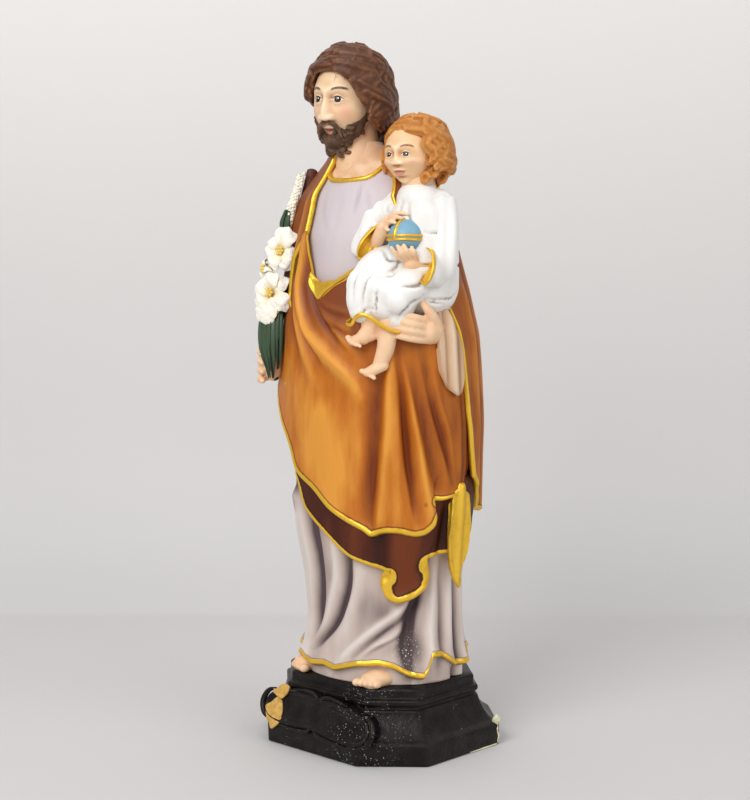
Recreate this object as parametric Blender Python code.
# Cast and painted statue of a bearded saint with a child, an orb and a lily, on an octagonal plinth.
# The figure is one casting. Its forms are tables in shares of its own height, and the plinth has its own sizes.
# Metres, Z up, the figure faces -Y, the origin is the centre of the plinth's underside.
import math

import bmesh
import bpy
import numpy as np

# Sizes of the figure
FIGURE_HEIGHT = 0.2742
# Sizes of the plinth
BASE_HEIGHT = 0.0305
BASE_WIDTH = 0.0990
BASE_DEPTH = 0.0870
BASE_CORNER_X = 0.0225
BASE_CORNER_Y = 0.0205
BASE_STEP = 0.0094
BASE_INSET = 0.0120
CARTOUCHE_WIDTH = 0.0680
CARTOUCHE_TALL = 0.0175
CARTOUCHE_THICK = 0.0034
# The figure stands this far above the plinth
SEAT_GAP = 0.0003

# The tables below are drawn at this height, with heights counted from this level
DRAWN_HEIGHT = 274.2
DRAWN_FOOT = 30.8
UNIT = FIGURE_HEIGHT / DRAWN_HEIGHT
# Cell size of the skin that joins the forms, and the share of its faces that is kept
CELL = 1.25 * UNIT
KEPT = 0.062

# Body: level, axis x, axis y, tunic half width and half depth, mantle half width and half depth
BODY = np.array(
    [
        (24, 1.2, 0.3, 38.5, 32.8, 40.0, 34.0),
        (40, 1.4, 0.4, 38.5, 32.8, 41.0, 34.0),
        (55, 2.0, 0.6, 36.0, 31.2, 41.0, 34.0),
        (75, 1.0, 0.2, 36.8, 31.6, 43.0, 35.0),
        (106, -0.5, 0.0, 43.0, 35.0, 46.8, 37.2),
        (141, -0.5, 0.0, 44.0, 35.0, 48.0, 38.0),
        (180, -0.5, -0.5, 38.5, 32.0, 46.0, 37.0),
        (198, -1.0, -1.0, 37.0, 31.0, 42.5, 35.0),
        (221, -1.5, -4.0, 34.5, 28.0, 39.0, 30.0),
        (240, -2.0, -6.0, 31.0, 21.5, 34.0, 23.5),
        (248, -2.0, -7.0, 24.0, 15.5, 26.5, 17.0),
        (255, -2.5, -8.0, 14.0, 11.0, 18.0, 12.5),
        (262, -3.0, -9.0, 10.0, 9.0, 12.0, 11.0),
    ]
)
TUNIC, MANTLE = 3, 5

# Folds: angle and level at the upper end, angle and level at the lower end, half width in degrees, height
TUNIC_FOLDS = [
    (-10, 104, -6, 42, 5, -2.8),
    (4, 100, 0, 38, 6, 1.8),
    (19, 96, 7, 42, 5, -2.8),
    (34, 95, 33, 34, 9, 1.6),
    (52, 72, 12, 37, 5, -1.6),
    (68, 92, 62, 27, 6, -3.2),
    (88, 92, 85, 27, 5, -1.4),
    (105, 95, 104, 32, 7, 1.6),
    (-32, 100, -36, 34, 7, 1.4),
    (-46, 146, -46, 112, 26, -2.2),
]
DRAPE_FOLDS = [
    (-17, 206, 18, 160, 6, 2.4),
    (-4, 190, 26, 150, 5, -1.8),
    (16, 200, 44, 176, 5, 1.4),
    (22, 192, 45, 168, 4, -1.4),
    (40, 180, 34, 96, 5, -2.6),
    (48, 180, 46, 92, 5, 2.4),
    (55, 182, 54, 92, 3, -1.4),
    (61, 184, 61, 92, 4, 2.2),
    (68, 186, 72, 98, 4, -3.0),
    (76, 186, 79, 104, 4, 2.0),
    (84, 188, 88, 106, 4, -2.4),
    (97, 190, 99, 100, 4, -2.6),
]
CAPE_FOLDS = [
    (-16, 232, -20, 190, 5, 1.8),
    (-30, 232, -34, 186, 6, -1.6),
]


def spread(points, amount):
    """Evenly spaced points on a smooth curve through the given ones."""
    points = np.asarray(points, float)
    count = len(points)
    padded = np.vstack([2 * points[0] - points[1], points, 2 * points[-1] - points[-2]])
    where = np.linspace(0, count - 1, amount)
    cell = np.minimum(where.astype(int), count - 2)
    f = (where - cell)[:, None]
    a, b, c, d = (padded[cell + k] for k in range(4))
    return 0.5 * (2 * b + (c - a) * f + (2 * a - 5 * b + 4 * c - d) * f**2 + (3 * b - a - 3 * c + d) * f**3)


def fade(x):
    """Smooth step from 0 to 1."""
    x = np.clip(x, 0, 1)
    return x * x * (3 - 2 * x)


def folded(theta, z, folds):
    """Sum of ridges and valleys: each is a bell across its own slanting line, fading at its two ends."""
    out = np.zeros(np.broadcast(theta, z).shape)
    for top, high, bottom, low, width, height in folds:
        share = (high - z) / (high - low)
        line = top + (bottom - top) * np.clip(share, 0, 1)
        away = (theta - line + 180) % 360 - 180
        ends = fade((high - z) / 12 + 0.5) * fade((z - low) / 6 + 1)
        out += height * np.exp(-((away / width) ** 2)) * ends
    return out


def skin(theta, z, kind, more):
    """Point on the tunic's or the mantle's elliptic level curve, moved outwards by more."""
    x, y, a, b = (np.interp(z, BODY[:, 0], BODY[:, k]) for k in (1, 2, kind, kind + 1))
    turn = np.radians(theta)
    return np.stack([x + (a + more) * np.sin(turn), y - (b + more) * np.cos(turn), z + 0 * more], axis=-1)


class Casting:
    """Collects closed bodies as one mesh."""

    def __init__(self):
        self.points = []
        self.faces = []

    def rings(self, rings):
        """A closed body through a stack of rings of equal size, its two ends closed flat."""
        rings = np.asarray(rings, float)
        levels, around = rings.shape[:2]
        start = sum(len(p) for p in self.points)
        self.points.append(rings.reshape(-1, 3))
        index = start + np.arange(levels * around).reshape(levels, around)
        after = np.roll(index, -1, axis=1)
        quads = np.stack([index[:-1], after[:-1], after[1:], index[1:]], axis=-1).reshape(-1, 4)
        self.faces += quads.tolist()
        self.faces += [index[0, ::-1].tolist(), index[-1].tolist()]

    def limb(self, path, sizes, flat=1.0, side=(0, 0, 1), around=14, steps=None):
        """A rounded limb along a path, its section an ellipse that is thinner by flat along side."""
        steps = steps or 5 * len(path)
        path = spread(path, steps)
        sizes = spread(np.asarray(sizes, float)[:, None], steps)[:, 0]
        along = np.gradient(path, axis=0)
        along /= np.linalg.norm(along, axis=1)[:, None]
        thin = np.asarray(side, float) - along * (along @ np.asarray(side, float))[:, None]
        thin /= np.linalg.norm(thin, axis=1)[:, None]
        wide = np.cross(along, thin)
        caps = np.array([0.05, 0.45, 0.75, 0.93])
        back = np.sqrt(1 - caps**2)
        path = np.vstack(
            [path[0] - along[0] * back[:, None] * sizes[0] * flat, path, path[-1] + along[-1] * back[::-1, None] * sizes[-1] * flat]
        )
        sizes = np.concatenate([caps * sizes[0], sizes, caps[::-1] * sizes[-1]])
        wide = np.vstack([np.repeat(wide[:1], 4, 0), wide, np.repeat(wide[-1:], 4, 0)])
        thin = np.vstack([np.repeat(thin[:1], 4, 0), thin, np.repeat(thin[-1:], 4, 0)])
        turn = np.linspace(0, 2 * np.pi, around, endpoint=False)[None, :, None]
        radius = sizes[:, None, None]
        self.rings(path[:, None] + radius * (np.cos(turn) * wide[:, None] + flat * np.sin(turn) * thin[:, None]))

    def ball(self, centre, radii, lean=0.0, nod=0.0, around=24):
        """An ellipsoid, leant about Y and nodded about X in degrees."""
        up = np.linspace(-np.pi / 2 + 0.06, np.pi / 2 - 0.06, 15)[:, None]
        turn = np.linspace(0, 2 * np.pi, around, endpoint=False)[None]
        ball = np.stack([np.cos(up) * np.cos(turn), np.cos(up) * np.sin(turn), np.sin(up) + 0 * turn], axis=-1)
        ball = ball * np.asarray(radii)
        a, b = math.radians(lean), math.radians(nod)
        tilt = np.array([(math.cos(a), 0, math.sin(a)), (0, 1, 0), (-math.sin(a), 0, math.cos(a))])
        bow = np.array([(1, 0, 0), (0, math.cos(b), -math.sin(b)), (0, math.sin(b), math.cos(b))])
        self.rings(ball @ (tilt @ bow).T + np.asarray(centre))

    def cloth(self, edges, top, hem, kind, lift, thick, folds, flare=0.0, columns=70, rows=30):
        """A layer of cloth on the body between two side edges, an upper line and a hem, with its own thickness."""
        u = np.linspace(0, 1, columns)[:, None]
        v = np.linspace(0, 1, rows)[None]
        theta = u * (edges[1][0][0] - edges[0][0][0]) + edges[0][0][0] + 0 * v
        z = None
        for _ in range(4):
            high = np.interp(theta, [p[0] for p in top], [p[1] for p in top])
            low = np.interp(theta, [p[0] for p in hem], [p[1] for p in hem])
            z = low + (high - low) * v
            left, right = (np.interp(z, [p[1] for p in edge], [p[0] for p in edge]) for edge in edges)
            theta = left + (right - left) * u
        out = lift + folded(theta, z, folds) + flare * (1 - v) ** 2
        outer = skin(theta, z, kind, out)
        inner = skin(theta, z, kind, out - thick)
        self.rings(np.concatenate([outer, inner[:, ::-1]], axis=1))

    def object(self, name, foot):
        """The collected bodies as an object whose drawn foot level is at its own origin."""
        points = (np.vstack(self.points) - (0, 0, foot)) * UNIT
        mesh = bpy.data.meshes.new(name)
        mesh.from_pydata(points.tolist(), [], self.faces)
        made = bpy.data.objects.new(name, mesh)
        bpy.context.collection.objects.link(made)
        return made


def draw_tunic(cast):
    z = np.concatenate([np.arange(24, 200, 4.0), np.arange(200, 263, 3.0)])[:, None]
    theta = np.arange(0, 360, 4.0)[None]
    back = fade((abs((theta - 180 + 180) % 360 - 180) * -1 + 75) / 25)
    waves = 1.3 * np.cos(np.radians(theta * 10)) * back * fade((110 - z) / 30 + 0.3)
    cast.rings(skin(theta + 0 * z, z + 0 * theta, TUNIC, folded(theta, z, TUNIC_FOLDS) + waves))
    # collar
    turn = np.radians(np.arange(0, 361, 20))
    ring = np.stack([-3 + 14.5 * np.sin(turn), -8.5 - 12.5 * np.cos(turn), 249.0 - 4.8 * np.cos(turn)], axis=-1)
    cast.limb(ring, [1.7] * len(ring), steps=40, side=(0.1, 0, 1))


def draw_mantle(cast):
    # the cape: from the left front edge round the back to the right front edge
    left = [(100, 100), (100, 131), (98, 146), (95, 173), (92, 183), (87, 190), (74, 203), (58, 222), (56, 238), (71, 253), (75, 258)]
    right = [(338, 100), (338, 190), (336, 199), (339, 211), (343, 217), (348, 223), (349, 241), (351, 251), (351, 258)]
    top = [(50, 257), (351, 257)]
    hem = [(80, 117), (104, 116), (118, 102), (150, 99), (180, 101), (215, 106), (250, 113), (285, 128), (302, 152), (338, 156)]
    folds = CAPE_FOLDS + [(150 + 22 * k, 232, 140 + 26 * k, 96, 7, 1.9 - 3.4 * (k % 2)) for k in range(7)]
    cast.cloth((left, right), top, hem, MANTLE, 0.0, 5.0, folds, flare=1.0, columns=110)
    # the front drape, drawn across from the right hip to the left arm
    left = [(-58, 90), (-58, 230)]
    right = [(99, 90), (99, 230)]
    top = [(-58, 192), (-24, 198.5), (-13, 195), (2, 196), (13, 203), (40, 209), (60, 203), (80, 192), (99, 186)]
    hem = [(-58, 160), (-30, 142), (-21, 131), (-14, 121), (0, 113.6), (10, 106), (22, 101), (34, 95.5), (60, 95.7)]
    hem += [(71, 99), (74, 108), (80, 110.5), (99, 113)]
    cast.cloth((left, right), top, hem, MANTLE, 1.2, 5.0, DRAPE_FOLDS, flare=1.0, columns=90)
    # the lower layer with its curled point
    left = [(-50, 60), (-50, 150)]
    right = [(112, 60), (112, 150)]
    top = [(-50, 140), (112, 132)]
    hem = [(-50, 122), (-16, 116), (-8, 104.7), (7, 94.6), (18, 87.5), (28, 84), (40, 79.5), (44, 73), (49, 67.5), (56, 67)]
    hem += [(64, 69), (74, 74), (78, 82), (87, 86.4), (112, 87)]
    folds = [(40, 120, 42, 78, 4, -1.6), (56, 110, 57, 60, 10, 2.2), (84, 110, 80, 82, 4, -1.6), (-46, 150, -46, 104, 22, -3.6)]
    cast.cloth((left, right), top, hem, TUNIC, 3.2, 5.0, folds, flare=1.2, columns=90, rows=20)
    # the turned lining at the left side
    left = [(85, 60), (85, 130)]
    right = [(128, 60), (128, 130)]
    top = [(85, 104), (92, 115), (99, 118), (128, 114)]
    hem = [(85, 87), (98, 71), (107, 77), (118, 82), (128, 92)]
    cast.cloth((left, right), top, hem, MANTLE, -0.6, 5.0, [(98, 120, 98, 70, 6, 1.2)], columns=30, rows=20)
    # right front fold from the shoulder
    cast.limb([(-20, -23, 222), (-22, -30, 206), (-19, -34, 192), (-9, -37, 176)], [2.6, 4.0, 4.4, 2.6], flat=0.8, side=(0, 1, 0))


def locks(cast, centre, radii, count, thick, reach, wave):
    """Locks of hair that run down a hair cap from the crown, swaying from side to side, round the back and sides."""
    for k in range(count):
        about = math.radians(-118 + 236 * k / (count - 1))
        path = []
        for step, down in enumerate(np.radians(np.linspace(18, reach, 6))):
            side = about + wave * (-1) ** step / 60
            out = (math.sin(down) * math.sin(side), math.sin(down) * math.cos(side), math.cos(down))
            path.append([c + r * o for c, r, o in zip(centre, radii, out)])
        cast.limb(path, [thick * 0.7, thick, thick, thick, thick, thick * 0.8], steps=16, around=8)


def draw_head(cast):
    cast.limb([(-2, -9, 243), (-4, -11, 258), (-5, -12, 272)], [11.5, 10.6, 10.5])
    cast.ball((-5, -16.5, 279), (13.2, 14.8, 18.5))
    cast.ball((-5, -12.8, 285.2), (17.6, 18.6, 19.3))
    cast.ball((-3.2, -3, 270.5), (12.5, 9.5, 11.5))
    cast.ball((-19, -17, 283), (4.2, 8.5, 12))
    cast.ball((9.2, -15.5, 279), (4.4, 9, 15))
    cast.ball((-5, -21.8, 266.5), (9.4, 8.6, 11))
    cast.ball((-5.2, -31.0, 277), (2.2, 2.6, 5), nod=18)
    locks(cast, (-5.6, -13.2, 285.0), (16.2, 17.2, 18.6), 15, 2.3, 112, 5)


def draw_arms(cast):
    cast.limb([(-28, -6, 238), (-35, -7, 208), (-38, -13, 184), (-37, -26, 169)], [9.5, 10, 9.5, 6.5])
    cast.limb([(27, -6, 236), (35, 0, 205), (38, -2, 190), (39, -14, 183)], [9.5, 8.5, 8.8, 7])
    # right hand around the stem
    cast.ball((-37, -31, 166), (5, 5.5, 8.5), lean=-10)
    for k in range(4):
        z = 172 - 4.0 * k
        cast.limb([(-40.5, -29, z), (-41, -34, z - 0.8), (-37, -36.5, z - 1.6)], [2.0, 2.0, 1.7], steps=8)
    # left hand under the child, fingers forwards
    cast.ball((39.5, -19, 182), (6, 8.5, 8.5))
    for k in range(4):
        z = 188.6 - 4.1 * k
        cast.limb([(42, -20, z), (39.5, -27.5, z), (36.0, -33.5 + 0.7 * k, z + 0.4)], [2.3, 2.3, 1.8], steps=9)
    cast.limb([(42, -14, 187), (42.5, -18.5, 192), (41.5, -21.5, 196)], [2.7, 2.5, 2.0], steps=8)
    # sleeve hanging below the left forearm
    cast.limb([(41, -4, 186), (43, -6, 170), (43, -7, 150)], [8.5, 8.5, 5], flat=0.55, side=(1, 0, 0))


def draw_child(cast):
    # head, hair, neck
    cast.ball((31, -13.2, 256), (11.4, 11.8, 13.4))
    cast.ball((32, -10, 257.4), (13.9, 13.6, 15))
    cast.ball((40, -6, 248), (6, 7.5, 6.5))
    cast.ball((20.8, -13, 252), (4.2, 7, 9))
    cast.limb([(33, -11, 236), (32, -11.5, 248)], [8, 7.5])
    locks(cast, (32, -10, 257.4), (13.8, 13.5, 14.9), 12, 2.0, 118, 7)
    # robe: trunk, thighs, lower part
    cast.limb([(33, -10.5, 240.5), (33.5, -11, 229), (35, -11, 214), (35, -11, 201)], [10.5, 14.6, 15.4, 15.5], around=24)
    cast.limb([(28, -14, 206), (25, -26, 206), (22.5, -34.5, 200)], [13, 12, 10], around=20)
    cast.limb([(40, -14, 203), (39, -25, 202), (37, -30, 197)], [11.5, 10.5, 9], around=20)
    cast.limb([(22.5, -35, 200), (22, -37.5, 190), (22, -38, 184)], [10, 8.6, 7], around=20)
    cast.limb([(33, -31, 197), (32, -33, 188)], [9.5, 7.5])
    # arms in wide sleeves
    cast.limb([(24.5, -13, 237), (21, -20, 229), (18.8, -24.5, 221)], [6.5, 7, 6.6], around=18)
    cast.limb([(19.5, -26, 221.5), (24, -29, 225), (31, -28, 229)], [4.2, 3.4, 2.8])
    cast.limb([(42, -7, 236), (45.5, -9, 220), (45.5, -13, 207)], [7, 7.6, 7.6], around=18)
    cast.limb([(45, -15, 208), (42.5, -21, 209), (39, -26.5, 211)], [4.6, 3.8, 3.4])
    # hands and orb
    cast.ball((36.4, -23.4, 220), (8.4, 8.4, 8.4))
    for k in range(4):
        over = [(31 - k, -29 + 1.2 * k, 228.6), (36, -30 + 2 * k, 228.6), (40, -28 + 2.4 * k, 226.6)]
        under = [(41 - 1.5 * k, -28.5 - 0.6 * k, 209.5), (38.5 - 1.6 * k, -32 - 0.2 * k, 214), (36 - 1.6 * k, -31.5, 218)]
        cast.limb(over, [1.4, 1.4, 1.1], steps=8)
        cast.limb(under, [1.6, 1.5, 1.2], steps=8)
    # legs and feet
    cast.limb([(23, -37, 187), (23.5, -37.5, 180), (22, -40, 177)], [4.4, 4.2, 3.6])
    cast.limb([(25, -35.5, 178), (21.5, -39.5, 176.5), (19, -42, 175.5)], [3.8, 3.8, 3.2], flat=0.75)
    cast.limb([(32, -32, 188), (32, -33, 174), (30.5, -34.5, 167)], [5, 4.2, 3.4])
    cast.limb([(31.5, -33.5, 167), (28.5, -37, 165)], [4, 3.6], flat=0.8)


def draw_lily(cast):
    def flower(centre, face, reach, petals=6):
        face = np.asarray(face, float) / np.linalg.norm(face)
        across = np.cross(face, (0, 0, 1))
        across /= np.linalg.norm(across)
        other = np.cross(face, across)
        cast.ball(centre, (3, 3, 3), around=12)
        for k in range(petals):
            turn = 2 * math.pi * (k + 0.25) / petals
            out = across * math.cos(turn) + other * math.sin(turn)
            path = [centre - face * 1.0, centre + out * reach * 0.55 + face * 1.6, centre + out * reach + face * 0.4]
            cast.limb(path, [1.8, 3.0, 1.3], flat=0.42, side=face, steps=8, around=12)

    flower(np.array([-31.0, -29.0, 214.5]), (0.3, -1, 0.25), 7.2)
    flower(np.array([-34.5, -32.5, 196.5]), (0.3, -1, 0.15), 9.0)
    cast.limb([(-32, -35, 196), (-30, -34, 188), (-28, -33, 185)], [3, 3.4, 1.5], flat=0.5, side=(0, 1, 0))
    cast.ball((-36.5, -31, 207), (3.8, 3.3, 4.2), around=12)
    cast.limb([(-32, -27, 205), (-29, -24.5, 232), (-26.5, -20.5, 249)], [3.4, 3.2, 2.2], flat=0.8)
    # the web that ties the spike to the shoulder, and the stem with its leaves
    cast.limb([(-26.5, -18, 247), (-29, -21, 228), (-31, -24, 208), (-33, -26, 190)], [3.2, 4.2, 5, 6], flat=0.6, side=(1, -1, 0))
    cast.limb([(-34, -30, 200), (-35, -30, 185), (-35, -31, 160)], [3.4, 3.6, 2.6])
    cast.limb([(-36, -32, 190), (-35, -35, 176), (-30.5, -36, 158)], [3, 5, 2], flat=0.4, side=(0, 1, 0))
    cast.limb([(-32, -33, 190), (-30, -35, 174), (-28.5, -35, 160)], [3, 4.5, 2], flat=0.4, side=(0, 1, 0))


def draw_feet(cast):
    for x, y in ((-20.0, -24.0), (18.5, -24.5)):
        cast.limb([(x, y + 14, 33), (x, y, 33.2), (x - 0.5, y - 4.5, 32.4)], [5.6, 5.4, 4.8], flat=0.75)
        for k in range(5):
            side = 1 if x < 0 else -1
            toe = x + side * (4.2 - 2.1 * k)
            cast.ball((toe, y - 8.0 + 0.75 * k, 31.9), (1.35 if k else 1.8, 2.6, 2.0), around=10)


def make_figure():
    cast = Casting()
    for draw in (draw_tunic, draw_mantle, draw_head, draw_arms, draw_child, draw_lily, draw_feet):
        draw(cast)
    figure = cast.object("figure", DRAWN_FOOT)
    figure.location = (0, 0, BASE_HEIGHT + SEAT_GAP)
    # one skin over all the forms
    remesh = figure.modifiers.new("one_skin", "REMESH")
    remesh.mode = "VOXEL"
    remesh.voxel_size = CELL
    fewer = figure.modifiers.new("fewer_faces", "DECIMATE")
    fewer.decimate_type = "COLLAPSE"
    fewer.ratio = KEPT
    # flat underside
    cutter = box("figure_underside_cutter", (0, 0, BASE_HEIGHT + SEAT_GAP - 0.02), (0.3, 0.3, 0.04))
    cutter.hide_render = True
    cut = figure.modifiers.new("flat_underside", "BOOLEAN")
    cut.operation = "DIFFERENCE"
    cut.solver = "EXACT"
    cut.object = cutter
    return figure


def box(name, centre, size):
    made = bmesh.new()
    bmesh.ops.create_cube(made, size=1.0)
    bmesh.ops.scale(made, vec=size, verts=made.verts)
    mesh = bpy.data.meshes.new(name)
    made.to_mesh(mesh)
    made.free()
    thing = bpy.data.objects.new(name, mesh)
    thing.location = centre
    bpy.context.collection.objects.link(thing)
    return thing


def octagon(inset, z):
    """The plinth's eight corners at one level, all sides moved in by inset."""
    x, y = BASE_WIDTH / 2 - inset, BASE_DEPTH / 2 - inset
    c = BASE_CORNER_X - inset * 0.586
    d = BASE_CORNER_Y - inset * 0.586
    half = [(x - c, -y), (x, -y + d), (x, y - d), (x - c, y)]
    return [(*p, z) for p in half] + [(-px, -py, z) for px, py in half]


def make_base():
    waist = BASE_HEIGHT - BASE_STEP
    # inset as a share of the whole inset, level as a share of the height above the lower block
    profile = [(0.0, -1.0), (0.0, -0.06), (0.04, 0.0), (0.10, 0.02)]
    profile += [(0.10 + 0.66 * math.sin(t), 0.02 + 0.56 * (1 - math.cos(t))) for t in np.linspace(0.2, math.pi / 2, 5)]
    profile += [(0.82, 0.60), (0.82, 0.64), (0.74, 0.67), (0.74, 0.76), (0.84, 0.79), (0.88, 0.81), (0.88, 0.95), (0.94, 1.0)]
    levels = []
    for inset, share in profile:
        z = BASE_STEP + share * waist if share > 0 else BASE_STEP + share * BASE_STEP
        levels.append(octagon(inset * BASE_INSET, z))
    body = Casting()
    body.rings(levels)
    mesh = bpy.data.meshes.new("base")
    mesh.from_pydata(np.vstack(body.points).tolist(), [], body.faces)
    base = bpy.data.objects.new("base", mesh)
    bpy.context.collection.objects.link(base)
    tablet = cartouche()
    tablet.hide_render = True
    join = base.modifiers.new("cartouche", "BOOLEAN")
    join.operation = "UNION"
    join.solver = "EXACT"
    join.object = tablet
    return base


def cartouche():
    """A long oval tablet with a raised rim and scroll notches, standing on the plinth's front."""
    turn = np.linspace(0, 2 * np.pi, 48, endpoint=False)
    wide = np.sign(np.cos(turn)) * abs(np.cos(turn)) ** 0.8
    tall = np.sign(np.sin(turn)) * abs(np.sin(turn)) ** 0.62
    notch = 1 - 0.13 * np.exp(-(((abs(np.cos(turn)) - 0.42) / 0.10) ** 2)) + 0.05 * np.cos(4 * turn)
    x = wide * notch * CARTOUCHE_WIDTH / 2
    z = tall * notch * CARTOUCHE_TALL / 2
    middle = BASE_STEP + 0.26 * (BASE_HEIGHT - BASE_STEP) + 0.001
    front = -BASE_DEPTH / 2
    rings = []
    for share, out in ((0.96, -1.9), (1.0, 0.2), (0.97, 0.75), (0.90, 1.0), (0.83, 0.8), (0.78, 0.45), (0.4, 0.42), (0.05, 0.42)):
        y = front + CARTOUCHE_THICK * (0.2 - out * 0.45) + 0 * x
        y = np.where(out < -1, front + 0.011, y)
        rings.append(np.stack([x * share, y + 0.0022 * (x / CARTOUCHE_WIDTH * 2) ** 4, middle + z * share], axis=-1))
    body = Casting()
    body.rings(rings)
    mesh = bpy.data.meshes.new("cartouche")
    mesh.from_pydata(np.vstack(body.points).tolist(), [], body.faces)
    made = bpy.data.objects.new("cartouche", mesh)
    bpy.context.collection.objects.link(made)
    return made


def paint(thing, name, colour, rough):
    material = bpy.data.materials.new(name)
    material.use_nodes = True
    shader = material.node_tree.nodes["Principled BSDF"]
    shader.inputs["Base Color"].default_value = (*colour, 1)
    shader.inputs["Roughness"].default_value = rough
    thing.data.materials.append(material)


for old in list(bpy.data.objects):
    bpy.data.objects.remove(old)
paint(make_figure(), "painted_resin", (0.45, 0.22, 0.06), 0.55)
paint(make_base(), "black_paint", (0.017, 0.013, 0.011), 0.3)
